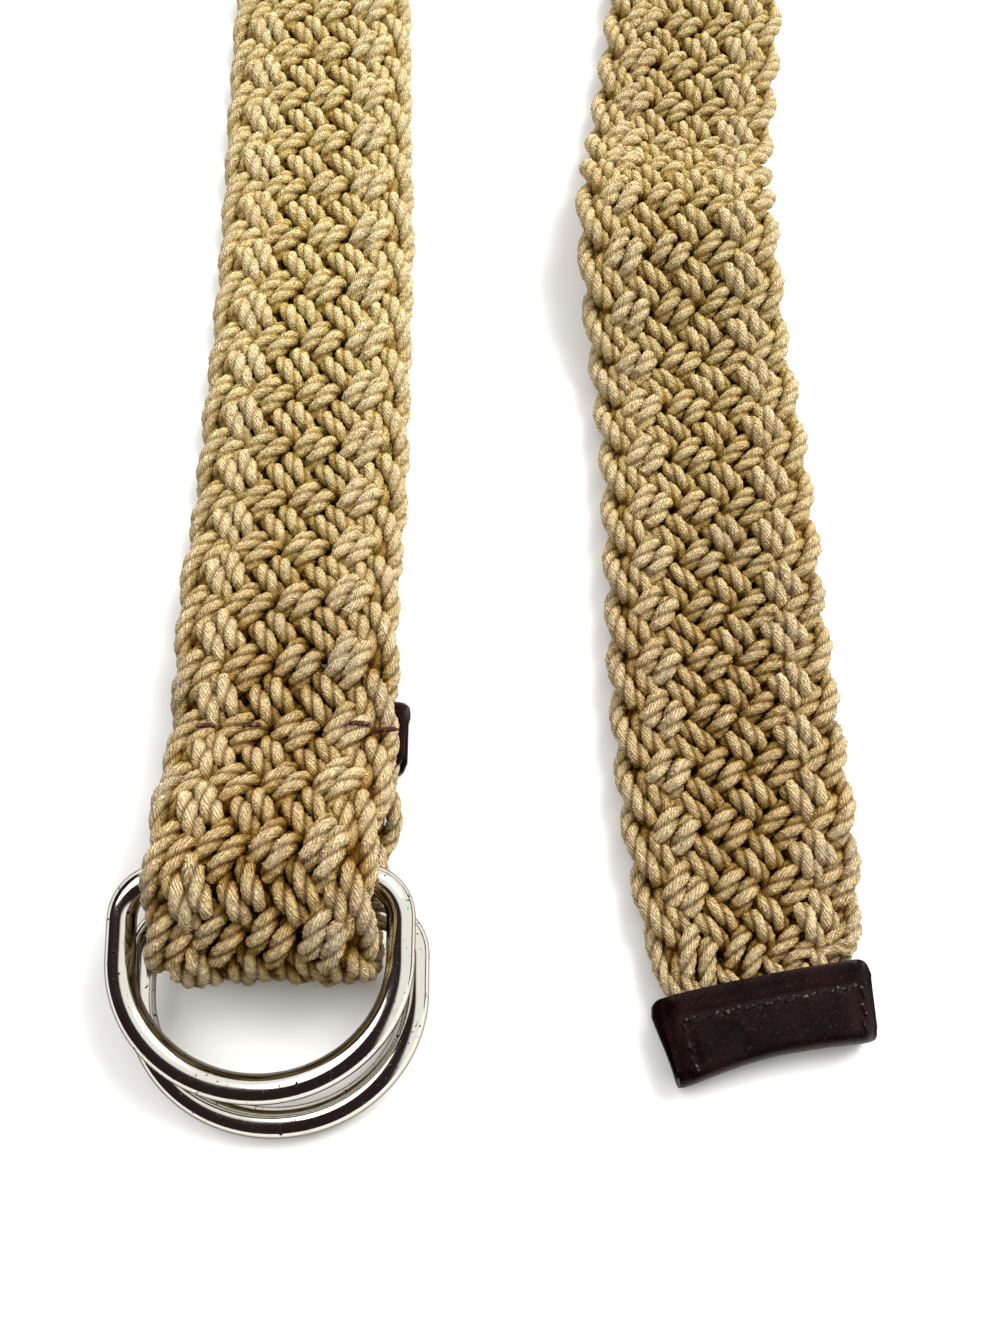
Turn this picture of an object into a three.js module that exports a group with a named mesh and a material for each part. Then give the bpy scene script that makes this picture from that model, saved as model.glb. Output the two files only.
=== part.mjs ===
import * as THREE from "three";

// A flat braided cotton belt with two D-rings, lying on a surface: +Z up, millimetres.
// The rings and the leather tip point to -Y, and the belt's hidden middle turns round at +Y.

// Braid
const braidWidth = 44;
const braidThickness = 5.8;
const braidPitch = 12.8;
const scallopDepth = 1.4;

// D-rings
const ringWire = 4.8;
const ringHeight = 38;
const ringCorner = 6.5;
const ringBowFrom = 0.38;
const ringSqueeze = 3;
const ringOffset = 2;
const ringStagger = 6.4;
const ringPlay = 0.5;
const ringSideGap = 0.35;
const ringStackGap = 0.3;
const foldSlack = 2.4;

// Leather
const leather = 1.4;
const leatherGap = 0.3;
const upperPlyGap = 0.4;
const flattenedEnd = 4.2;
const flattenedLead = 3.6;
const tabLength = 13.2;
const tabNarrowing = 0.8;
const tipLength = 13.2;
const tipWidth = 36.4;
const tipEndWidth = 33.8;
const leatherCorner = 2.6;
const leatherNose = 2.2;
const foldCornerShare = 0.6;
const tipPinch = 1.5;
const tipBraidInset = 1;

// How the belt lies
// ringBowFrom is a share of a ring's reach, foldCornerShare of leatherCorner, tabCrest of tabLength, and
// lowerRamp of the lower ply between the tab and the back bar
const foldLength = 49.7;
const stretchSpacing = 81.2;
const laidLength = 231;
const loopReach = 425;
const foldSettle = 43;
const settleLead = 0.5;
const flatLead = 10;
const lowerRamp = 0.35;
const tabCrest = 0.4;
const humpHeight = 8.8;
const humpPlace = 154.5;
const humpNearRun = 37;
const humpFarRun = 31;
const twistLead = 5;
const twistTail = 20;
const tipRun = 14;
const tipMouth = 0.3;
const tipHeading = 10.4;

// Facets
const stationsPerPitch = 4;
const wireSides = 12;
const cornerSteps = 5;
const bowSteps = 24;
const noseSteps = 4;
const laidSteps = 26;
const turnSteps = 12;
const rightSteps = 58;
const lengthDivisions = 4000;

// Levels and places worked out from the sizes above
const halfBraid = braidThickness / 2;
const ringInnerWidth = braidWidth - ringSqueeze;
const wireRadius = ringWire / 2;
const ringHalfWidth = ringInnerWidth / 2 + wireRadius;
const ringReach = ringHeight - ringWire;
const foldWidth = ringInnerWidth - ringOffset - 2 * ringSideGap;
const leatherHeight = flattenedEnd + 2 * leatherGap + 2 * leather;
const endLevel = leatherHeight / 2;
const endInset = leatherNose + leatherGap;
const bendRadius = foldSlack + wireRadius + halfBraid;
const backBar = { y: braidThickness + foldSlack + wireRadius, z: braidThickness + ringPlay + wireRadius };
const ringLean = Math.asin((backBar.z - wireRadius) / ringReach);
const frontBar = {
  y: backBar.y + ringStagger * Math.cos(ringLean) - (ringWire + ringStackGap) * Math.sin(ringLean),
  z: backBar.z + ringStagger * Math.sin(ringLean) + (ringWire + ringStackGap) * Math.cos(ringLean),
};
const crownRadius = wireRadius + ringPlay + halfBraid;
const crownLevel = frontBar.z + crownRadius;
const overTab = leatherHeight + upperPlyGap + halfBraid;
const tabMouth = foldLength - tabLength;
const tabWidth = braidWidth - tabNarrowing;
const tipBraidWidth = tipEndWidth - 2 * tipBraidInset;

// Sideways wander of each stretch: along is a share of laidLength, side a share of braidWidth, + to the
// right
const leftWander = [
  { along: -0.1, side: 0.041 },
  { along: 0.11, side: 0.041 },
  { along: 0.22, side: 0.041 },
  { along: 0.3, side: 0.008 },
  { along: 0.4, side: 0.005 },
  { along: 0.65, side: -0.004 },
  { along: 0.87, side: -0.05 },
  { along: 0.98, side: -0.068 },
  { along: 1.2, side: -0.085 },
  { along: 1.5, side: -0.09 },
  { along: 2.5, side: -0.09 },
];
const rightWander = [
  { along: -0.06, side: 0.113 },
  { along: 0, side: 0.058 },
  { along: 0.048, side: 0.046 },
  { along: 0.13, side: 0.028 },
  { along: 0.22, side: 0.006 },
  { along: 0.44, side: 0 },
  { along: 0.515, side: -0.02 },
  { along: 0.585, side: -0.06 },
  { along: 0.655, side: -0.09 },
  { along: 0.7, side: -0.08 },
  { along: 0.75, side: -0.045 },
  { along: 0.8, side: -0.002 },
  { along: 0.87, side: 0.055 },
  { along: 0.98, side: 0.132 },
  { along: 1.15, side: 0.19 },
  { along: 1.5, side: 0.2 },
  { along: 2.5, side: 0.2 },
];

// Width of the braid along each stretch: along is a share of foldLength, full a share of braidWidth
const foldEndWidths = [
  { along: 0.38, full: 0 },
  { along: 0.52, full: 0.7 },
  { along: 0.66, full: 0.85 },
  { along: 0.8, full: 0.4 },
  { along: 1.1, full: 0.35 },
];
const frontWidths = [
  { along: 0.44, full: 0 },
  { along: 0.62, full: 0.5 },
  { along: 1.05, full: 0.6 },
  { along: 1.3, full: 0.75 },
  { along: 1.8, full: 1 },
];
const tipWidths = [
  { along: -0.6, full: 0 },
  { along: 0, full: 0.15 },
  { along: 0.1, full: 0.45 },
  { along: 0.3, full: 0.75 },
  { along: 0.6, full: 1 },
];

const mix = (a, b, share) => a + (b - a) * share;
const ease = (share) => 0.5 - 0.5 * Math.cos(Math.PI * Math.min(1, Math.max(0, share)));

// The value of one column of a table at a place between its rows, on a smooth curve through them.
function lookUp(rows, column, along) {
  const last = rows.length - 1;
  if (along <= rows[0].along) return rows[0][column];
  if (along >= rows[last].along) return rows[last][column];
  const i = rows.findIndex((row) => row.along > along) - 1;
  const [before, from, to, after] = [Math.max(0, i - 1), i, i + 1, Math.min(last, i + 2)].map((k) => rows[k]);
  const span = to.along - from.along;
  const slopeFrom = ((to[column] - before[column]) / (to.along - before.along)) * span;
  const slopeTo = ((after[column] - from[column]) / (after.along - from.along)) * span;
  const s = (along - from.along) / span;
  const cubic = 2 * (from[column] - to[column]) + slopeFrom + slopeTo;
  const square = 3 * (to[column] - from[column]) - 2 * slopeFrom - slopeTo;
  return ((cubic * s + square) * s + slopeFrom) * s + from[column];
}

const leftX = (y) => -stretchSpacing / 2 + braidWidth * lookUp(leftWander, "side", y / laidLength);
const rightX = (y) => stretchSpacing / 2 + braidWidth * lookUp(rightWander, "side", y / laidLength);
const foldMiddle = leftX(0);
const widthAlong = (table, narrow, y) => mix(narrow, braidWidth, lookUp(table, "full", y / foldLength));

// The rows of the braid's course: its middle line, its roll about that line, its width and thickness.
function braidCourse() {
  const rows = [];
  const put = (x, y, z, width, thickness = braidThickness, roll = 0) =>
    rows.push({ point: new THREE.Vector3(x, y, z), width, thickness, roll });
  const lowerWidth = (y) => widthAlong(foldEndWidths, foldWidth, y);
  const upperWidth = (y) => widthAlong(frontWidths, foldWidth, y);
  const rightWidth = (y) => widthAlong(tipWidths, tipBraidWidth, y);

  // The lower ply, from its flattened end in the leather tab to the bend
  const tabInside = foldLength - endInset;
  const flatTo = tabMouth - flattenedLead;
  for (const share of [0, 0.25, 0.5, 0.75, 1]) {
    const y = mix(tabInside, flatTo, share);
    put(leftX(y), y, endLevel, lowerWidth(y), flattenedEnd);
  }
  for (const share of [0.4, 0.8, 1]) {
    const y = mix(flatTo, backBar.y, lowerRamp * share);
    const thickness = mix(flattenedEnd, braidThickness, ease(share));
    put(leftX(y), y, mix(endLevel, halfBraid, ease(share)), lowerWidth(y), thickness);
  }
  for (const share of [0.55, 0.78, 0.93]) {
    const y = mix(flatTo, backBar.y, share);
    put(leftX(y), y, halfBraid, lowerWidth(y));
  }

  // The bend: round the back bar, then up over the front bar
  const bendCentre = { y: backBar.y, z: halfBraid + bendRadius };
  const apart = Math.hypot(frontBar.y - bendCentre.y, frontBar.z - bendCentre.z);
  const rise = Math.atan2(frontBar.z - bendCentre.z, frontBar.y - bendCentre.y);
  const leave = rise + Math.acos((bendRadius - crownRadius) / apart);
  for (const share of [0, 0.17, 0.33, 0.5, 0.67, 0.83, 1]) {
    const angle = mix(1.5 * Math.PI, leave, share);
    const y = bendCentre.y + bendRadius * Math.cos(angle);
    put(foldMiddle, y, bendCentre.z + bendRadius * Math.sin(angle), foldWidth);
  }
  for (const share of [0, 1]) {
    const angle = mix(leave, Math.PI / 2, share);
    const y = frontBar.y + crownRadius * Math.cos(angle);
    put(foldMiddle, y, frontBar.z + crownRadius * Math.sin(angle), foldWidth);
  }

  // The upper ply: down onto the leather tab, then down to the surface
  const overMouth = tabMouth + tabCrest * tabLength;
  const settleFrom = foldLength + settleLead;
  for (const share of [0.2, 0.4, 0.6, 0.8, 1]) {
    const y = mix(frontBar.y, overMouth, share);
    put(leftX(y), y, mix(crownLevel, overTab, ease(share)), upperWidth(y));
  }
  for (const share of [0.33, 0.67]) {
    const y = mix(overMouth, settleFrom, share);
    put(leftX(y), y, overTab, upperWidth(y));
  }
  for (const share of [0, 0.17, 0.33, 0.5, 0.67, 0.83, 1]) {
    const y = settleFrom + foldSettle * share;
    put(leftX(y), y, mix(overTab, halfBraid, ease(share)), upperWidth(y));
  }

  // The left stretch, the twist onto its edge, the turn, and the same back again
  const flatFrom = foldLength + foldSettle + flatLead;
  const twistFrom = laidLength + twistLead;
  const twistTo = loopReach - twistTail;
  const rollAt = (y) => (Math.PI / 2) * ease((y - twistFrom) / (twistTo - twistFrom));
  const levelAt = (roll) => halfBraid + (braidWidth / 2 - halfBraid) * Math.sin(roll);
  for (let k = 0; k <= laidSteps; k++) {
    const y = mix(flatFrom, twistTo, k / laidSteps);
    put(leftX(y), y, levelAt(rollAt(y)), braidWidth, braidThickness, rollAt(y));
  }
  const turnMiddle = (leftX(loopReach) + rightX(loopReach)) / 2;
  const turnRadius = rightX(loopReach) - turnMiddle;
  for (let k = 0; k <= turnSteps; k++) {
    const angle = Math.PI * (1 - k / turnSteps);
    const x = turnMiddle + turnRadius * Math.cos(angle);
    const y = loopReach + turnRadius * Math.sin(angle);
    put(x, y, braidWidth / 2, braidWidth, braidThickness, Math.PI / 2);
  }
  const humpAt = (y) => {
    const run = y < humpPlace ? humpNearRun : humpFarRun;
    return humpHeight * (1 - ease(Math.abs(y - humpPlace) / run));
  };
  for (let k = 0; k <= rightSteps; k++) {
    const y = mix(twistTo, tipRun, k / rightSteps);
    put(rightX(y), y, levelAt(rollAt(y)) + humpAt(y), rightWidth(y), braidThickness, rollAt(y));
  }

  // The tip end, flattened inside the leather
  const heading = THREE.MathUtils.degToRad(tipHeading);
  const flattenedFrom = tipMouth + flattenedLead;
  for (const share of [0.25, 0.5, 0.75, 1]) {
    const y = mix(tipRun, flattenedFrom, share);
    const thickness = mix(braidThickness, flattenedEnd, ease(share));
    put(rightX(y), y, mix(halfBraid, endLevel, ease(share)), rightWidth(y), thickness);
  }
  const straightEnd = tipLength - endInset + flattenedLead;
  const lastX = rightX(flattenedFrom);
  for (const share of [0.2, 0.4, 0.6, 0.8, 1]) {
    const reach = straightEnd * share;
    const y = flattenedFrom - reach * Math.cos(heading);
    put(lastX + reach * Math.sin(heading), y, endLevel, rightWidth(y), flattenedEnd);
  }
  return rows;
}

// Triangles over a section: a fan for a convex one, a strip for one whose second half runs back beside
// its first half.
const fan = (sides) => Array.from({ length: sides - 2 }, (_, k) => [0, k + 1, k + 2]);
const strip = (sides) => Array.from({ length: sides / 2 - 1 }, (_, k) => [
  [k, k + 1, sides - 1 - k],
  [k + 1, sides - 2 - k, sides - 1 - k],
]).flat();

// A closed surface through rings of points; looped joins the last ring to the first, else the caps'
// triangles close both ends.
function skin(rings, caps, looped = false) {
  const sides = rings[0].length;
  const positions = rings.flat().flatMap((p) => [p.x, p.y, p.z]);
  const index = [];
  const spans = looped ? rings.length : rings.length - 1;
  for (let i = 0; i < spans; i++) {
    const here = i * sides;
    const next = ((i + 1) % rings.length) * sides;
    for (let k = 0; k < sides; k++) {
      const k1 = (k + 1) % sides;
      index.push(here + k, here + k1, next + k1, here + k, next + k1, next + k);
    }
  }
  const last = (rings.length - 1) * sides;
  for (const [a, b, c] of looped ? [] : caps) index.push(a, c, b, last + a, last + b, last + c);
  const geometry = new THREE.BufferGeometry();
  geometry.setAttribute("position", new THREE.Float32BufferAttribute(positions, 3));
  geometry.setIndex(index);
  geometry.computeVertexNormals();
  return geometry;
}

// The braid's section: across is a share of half the width, up of half the thickness
const braidSection = [
  { across: 1, up: 0 },
  { across: 0.955, up: 0.66 },
  { across: 0.84, up: 1 },
  { across: -0.84, up: 1 },
  { across: -0.955, up: 0.66 },
  { across: -1, up: 0 },
  { across: -0.955, up: -0.66 },
  { across: -0.84, up: -1 },
  { across: 0.84, up: -1 },
  { across: 0.955, up: -0.66 },
];

const course = braidCourse();
const middleLine = new THREE.CatmullRomCurve3(course.map((row) => row.point), false, "centripetal");
middleLine.arcLengthDivisions = lengthDivisions;

// One column of the course at a share of the middle line's points
function courseValue(column, t) {
  const place = Math.min(t * (course.length - 1), course.length - 1.0001);
  const i = Math.floor(place);
  return mix(course[i][column], course[i + 1][column], place - i);
}

function braidBand() {
  const length = middleLine.getLength();
  const steps = Math.round((length / braidPitch) * stationsPerPitch);
  const upward = new THREE.Vector3(0, 0, 1);
  const level = new THREE.Vector3(1, 0, 0);
  const rings = [];
  for (let i = 0; i <= steps; i++) {
    const share = i / steps;
    const t = middleLine.getUtoTmapping(share);
    const centre = middleLine.getPoint(t);
    const ahead = middleLine.getTangent(t);
    const sideways = new THREE.Vector3().crossVectors(ahead, upward);
    if (sideways.dot(level) < 0) sideways.negate();
    if (sideways.length() > 0.5) level.copy(sideways).normalize();
    const face = new THREE.Vector3().crossVectors(level, ahead).normalize();
    const roll = courseValue("roll", t);
    const across = level.clone().multiplyScalar(Math.cos(roll)).addScaledVector(face, -Math.sin(roll));
    const outward = face.clone().multiplyScalar(Math.cos(roll)).addScaledVector(level, Math.sin(roll));
    const width = courseValue("width", t);
    const thickness = courseValue("thickness", t);
    const wave = Math.cos((2 * Math.PI * share * length) / braidPitch);
    rings.push(braidSection.map(({ across: u, up }) => {
      const scallop = (scallopDepth / 2) * (1 - Math.sign(u) * wave);
      return centre.clone()
        .addScaledVector(across, u * (width / 2 - scallop))
        .addScaledVector(outward, up * (thickness / 2));
    }));
  }
  return skin(rings.map((ring) => ring.reverse()), fan(braidSection.length));
}

// The middle line of a D-ring's wire, lying flat: the bar on the X axis, the bow towards -Y
function ringOutline() {
  const straight = ringHalfWidth - ringCorner;
  const bowTop = ringBowFrom * ringReach;
  const corner = (side, k) => {
    const angle = (Math.PI / 2) * (k / cornerSteps);
    return [side * (straight + ringCorner * Math.sin(angle)), -ringCorner * (1 - Math.cos(angle))];
  };
  const points = [];
  for (let k = 0; k <= cornerSteps; k++) points.push(corner(1, k));
  for (let k = 0; k <= bowSteps; k++) {
    const angle = (Math.PI * k) / bowSteps;
    points.push([ringHalfWidth * Math.cos(angle), -bowTop - (ringReach - bowTop) * Math.sin(angle)]);
  }
  for (let k = cornerSteps; k >= 0; k--) points.push(corner(-1, k));
  for (const share of [0.25, 0.5, 0.75]) points.push([mix(-straight, straight, share), 0]);
  return points.map(([x, y]) => new THREE.Vector3(x, y, 0));
}

function dRing() {
  const outline = ringOutline();
  const rings = outline.map((point, i) => {
    const before = outline[(i + outline.length - 1) % outline.length];
    const after = outline[(i + 1) % outline.length];
    const ahead = after.clone().sub(point).normalize().add(point.clone().sub(before).normalize()).normalize();
    const inward = new THREE.Vector3(ahead.y, -ahead.x, 0);
    return Array.from({ length: wireSides }, (_, k) => {
      const angle = (-2 * Math.PI * k) / wireSides;
      return point.clone().addScaledVector(inward, wireRadius * Math.cos(angle))
        .add(new THREE.Vector3(0, 0, wireRadius * Math.sin(angle)));
    });
  });
  return skin(rings, [], true);
}

// Leather folded round the end of the braid: the fold at y = 0, the mouth at y = length, the underside
// at z = 0. In each row across is a share of half the mouth's width, cut how far a rounded corner
// shortens the piece, as a share of leatherCorner, and pinch how far the upper ply comes down, as a
// share of pinchDepth.
const leatherRows = [
  { across: -1, cut: 1, pinch: 1.1 },
  { across: -0.975, cut: 0.45, pinch: 1 },
  { across: -0.93, cut: 0.12, pinch: 0.7 },
  { across: -0.86, cut: 0, pinch: 0.3 },
  { across: -0.78, cut: 0, pinch: 0 },
  { across: -0.4, cut: 0, pinch: 0 },
  { across: 0.4, cut: 0, pinch: 0 },
  { across: 0.78, cut: 0, pinch: 0 },
  { across: 0.86, cut: 0, pinch: 0.3 },
  { across: 0.93, cut: 0.12, pinch: 0.7 },
  { across: 0.975, cut: 0.45, pinch: 1 },
  { across: 1, cut: 1, pinch: 1.1 },
];

function foldedLeather(mouthWidth, endWidth, length, pinchDepth) {
  const rings = leatherRows.map(({ across, cut, pinch }) => {
    const height = leatherHeight - pinch * pinchDepth;
    const low = cut * leatherCorner * foldCornerShare;
    const mouth = length - cut * leatherCorner;
    const section = [];
    const turn = (inset, flip) => {
      for (let k = 0; k <= noseSteps; k++) {
        const angle = Math.PI * ((flip ? noseSteps - k : k) / noseSteps - 0.5);
        section.push([
          low + leatherNose - (leatherNose - inset) * Math.cos(angle),
          height / 2 + (height / 2 - inset) * Math.sin(angle),
        ]);
      }
    };
    section.push([mouth, 0]);
    turn(0, false);
    section.push([mouth, height], [mouth, height - leather]);
    turn(leather, true);
    section.push([mouth, leather]);
    return section.map(([y, z]) => {
      const half = mix(endWidth, mouthWidth, Math.min(1, Math.max(0, y / length))) / 2;
      return new THREE.Vector3(across * half, y, z);
    });
  });
  return skin(rings.reverse(), strip(rings[0].length));
}

const cotton = new THREE.MeshStandardMaterial({ color: 0xd2bf93, roughness: 0.95, metalness: 0 });
const chrome = new THREE.MeshStandardMaterial({ color: 0xc9c8c4, roughness: 0.12, metalness: 1 });
const brownLeather = new THREE.MeshStandardMaterial({ color: 0x3a2226, roughness: 0.55, metalness: 0 });

function part(name, geometry, material) {
  const mesh = new THREE.Mesh(geometry, material.clone());
  mesh.name = name;
  return mesh;
}

const band = part("braid_band", braidBand(), cotton);

const frontRing = part("front_ring", dRing(), chrome);
frontRing.position.set(foldMiddle - ringOffset / 2, frontBar.y, frontBar.z);
frontRing.rotation.x = ringLean;

const backRing = part("back_ring", dRing(), chrome);
backRing.position.set(foldMiddle + ringOffset / 2, backBar.y, backBar.z);
backRing.rotation.x = ringLean;

const tab = part("leather_tab", foldedLeather(tabWidth, tabWidth, tabLength, 0), brownLeather);
tab.position.set(leftX(foldLength - tabLength / 2), foldLength, 0);
tab.rotation.z = Math.PI;

// The tip sits on the last straight of the braid, square to it
const braidEnd = course[course.length - 1].point;
const tipTurn = THREE.MathUtils.degToRad(tipHeading);
const tip = part("leather_tip", foldedLeather(tipWidth, tipEndWidth, tipLength, tipPinch), brownLeather);
tip.position.set(braidEnd.x + endInset * Math.sin(tipTurn), braidEnd.y - endInset * Math.cos(tipTurn), 0);
tip.rotation.z = tipTurn;

const belt = new THREE.Group();
belt.add(band, frontRing, backRing, tab, tip);

// The origin is at the middle of the belt's box, on the surface that it lies on
const box = new THREE.Box3().setFromObject(belt, true);
belt.position.set(-(box.min.x + box.max.x) / 2, -(box.min.y + box.max.y) / 2, -box.min.z);

export default belt;
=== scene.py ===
import bpy
import bmesh
import math
import random
from bisect import bisect_right
from mathutils import Vector, Matrix
from mathutils.bvhtree import BVHTree


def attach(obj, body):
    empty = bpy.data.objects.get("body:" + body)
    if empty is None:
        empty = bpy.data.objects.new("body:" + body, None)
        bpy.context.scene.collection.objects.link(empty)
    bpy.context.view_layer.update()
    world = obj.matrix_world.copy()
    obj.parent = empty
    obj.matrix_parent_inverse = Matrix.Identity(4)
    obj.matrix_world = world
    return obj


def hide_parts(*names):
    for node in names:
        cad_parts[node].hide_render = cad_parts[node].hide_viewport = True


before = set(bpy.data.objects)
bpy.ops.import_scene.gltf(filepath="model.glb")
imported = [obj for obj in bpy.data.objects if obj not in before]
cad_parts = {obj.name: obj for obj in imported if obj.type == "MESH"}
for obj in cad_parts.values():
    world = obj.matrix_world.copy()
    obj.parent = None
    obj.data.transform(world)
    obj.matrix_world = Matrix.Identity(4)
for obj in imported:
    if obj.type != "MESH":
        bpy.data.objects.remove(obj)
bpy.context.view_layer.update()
mm = 0.001  # the tables below are in millimetres

# The camera stands over the rings and looks down along the belt; millimetres and degrees
viewer = {"lens": 28, "sensor": 36, "place": (-3.06, -234.18, 187.75), "down": 70.3}


def placeCamera():
    data = bpy.data.cameras.new("viewer")
    data.lens = viewer["lens"]
    data.sensor_width = viewer["sensor"]
    data.clip_start = 0.01
    camera = bpy.data.objects.new("viewer", data)
    camera.location = Vector(viewer["place"]) * mm
    camera.rotation_euler = (math.radians(90 - viewer["down"]), 0, 0)
    bpy.context.collection.objects.link(camera)
    bpy.context.scene.camera = camera


placeCamera()
print("camera placed")


# How the belt lies, in millimetres, before the whole is centred; the tables give (place, value) rows
laid = {
    "width": 44, "thickness": 5.8, "foldWidth": 38.3, "tipBraidWidth": 31.8,
    "foldLength": 49.7, "spacing": 81.2, "laidLength": 231, "loopReach": 425,
    "foldSettle": 43, "settleLead": 0.5, "flatLead": 10, "twistLead": 5, "twistTail": 20,
    "humpHeight": 8.8, "humpPlace": 154.5, "humpNearRun": 37, "humpFarRun": 31,
    "endLevel": 3.8, "flattenedEnd": 4.2, "flattenedLead": 3.6, "endInset": 2.5,
    "tabLength": 13.2, "tabCrest": 0.4, "overTab": 10.9, "lowerRamp": 0.35,
    "backBar": (10.6, 8.7), "frontBar": (15.919, 14.918), "bendRadius": 7.7, "crownRadius": 5.8,
    "tipRun": 14, "tipMouth": 0.3, "tipLength": 13.2, "tipHeading": 10.4,
    "leftSteps": 26, "turnSteps": 12, "rightSteps": 58, "shift": (-2.358, -225.279, 0.050),
}
leftWander = [(-0.1, 0.041), (0.11, 0.041), (0.22, 0.041), (0.3, 0.008), (0.4, 0.005), (0.65, -0.004),
              (0.87, -0.05), (0.98, -0.068), (1.2, -0.085), (1.5, -0.09), (2.5, -0.09)]
rightWander = [(-0.06, 0.113), (0, 0.058), (0.048, 0.046), (0.13, 0.028), (0.22, 0.006), (0.44, 0),
               (0.515, -0.02), (0.585, -0.06), (0.655, -0.09), (0.7, -0.08), (0.75, -0.045),
               (0.8, -0.002), (0.87, 0.055), (0.98, 0.132), (1.15, 0.19), (1.5, 0.2), (2.5, 0.2)]
foldEndWidths = [(0.38, 0), (0.52, 0.7), (0.66, 0.85), (0.8, 0.4), (1.1, 0.35)]
frontWidths = [(0.44, 0), (0.62, 0.5), (1.05, 0.6), (1.3, 0.75), (1.8, 1)]
tipWidths = [(-0.6, 0), (0, 0.15), (0.1, 0.45), (0.3, 0.75), (0.6, 1)]


def mix(a, b, share):
    return a + (b - a) * share


def ease(share):
    return 0.5 - 0.5 * math.cos(math.pi * min(1, max(0, share)))


# A smooth curve through a table's rows, level before the first and after the last
def lookUp(rows, place):
    if place <= rows[0][0]:
        return rows[0][1]
    if place >= rows[-1][0]:
        return rows[-1][1]
    i = next(k for k, row in enumerate(rows) if row[0] > place) - 1
    before, start, end, after = (rows[min(len(rows) - 1, max(0, k))] for k in range(i - 1, i + 3))
    span = end[0] - start[0]
    slopeStart = (end[1] - before[1]) / (end[0] - before[0]) * span
    slopeEnd = (after[1] - start[1]) / (after[0] - start[0]) * span
    t = (place - start[0]) / span
    cubic = 2 * (start[1] - end[1]) + slopeStart + slopeEnd
    square = 3 * (end[1] - start[1]) - 2 * slopeStart - slopeEnd
    return ((cubic * t + square) * t + slopeStart) * t + start[1]


def leftX(y):
    return -laid["spacing"] / 2 + laid["width"] * lookUp(leftWander, y / laid["laidLength"])


def rightX(y):
    return laid["spacing"] / 2 + laid["width"] * lookUp(rightWander, y / laid["laidLength"])


def widthAlong(table, narrow, y):
    return mix(narrow, laid["width"], lookUp(table, y / laid["foldLength"]))


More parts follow.
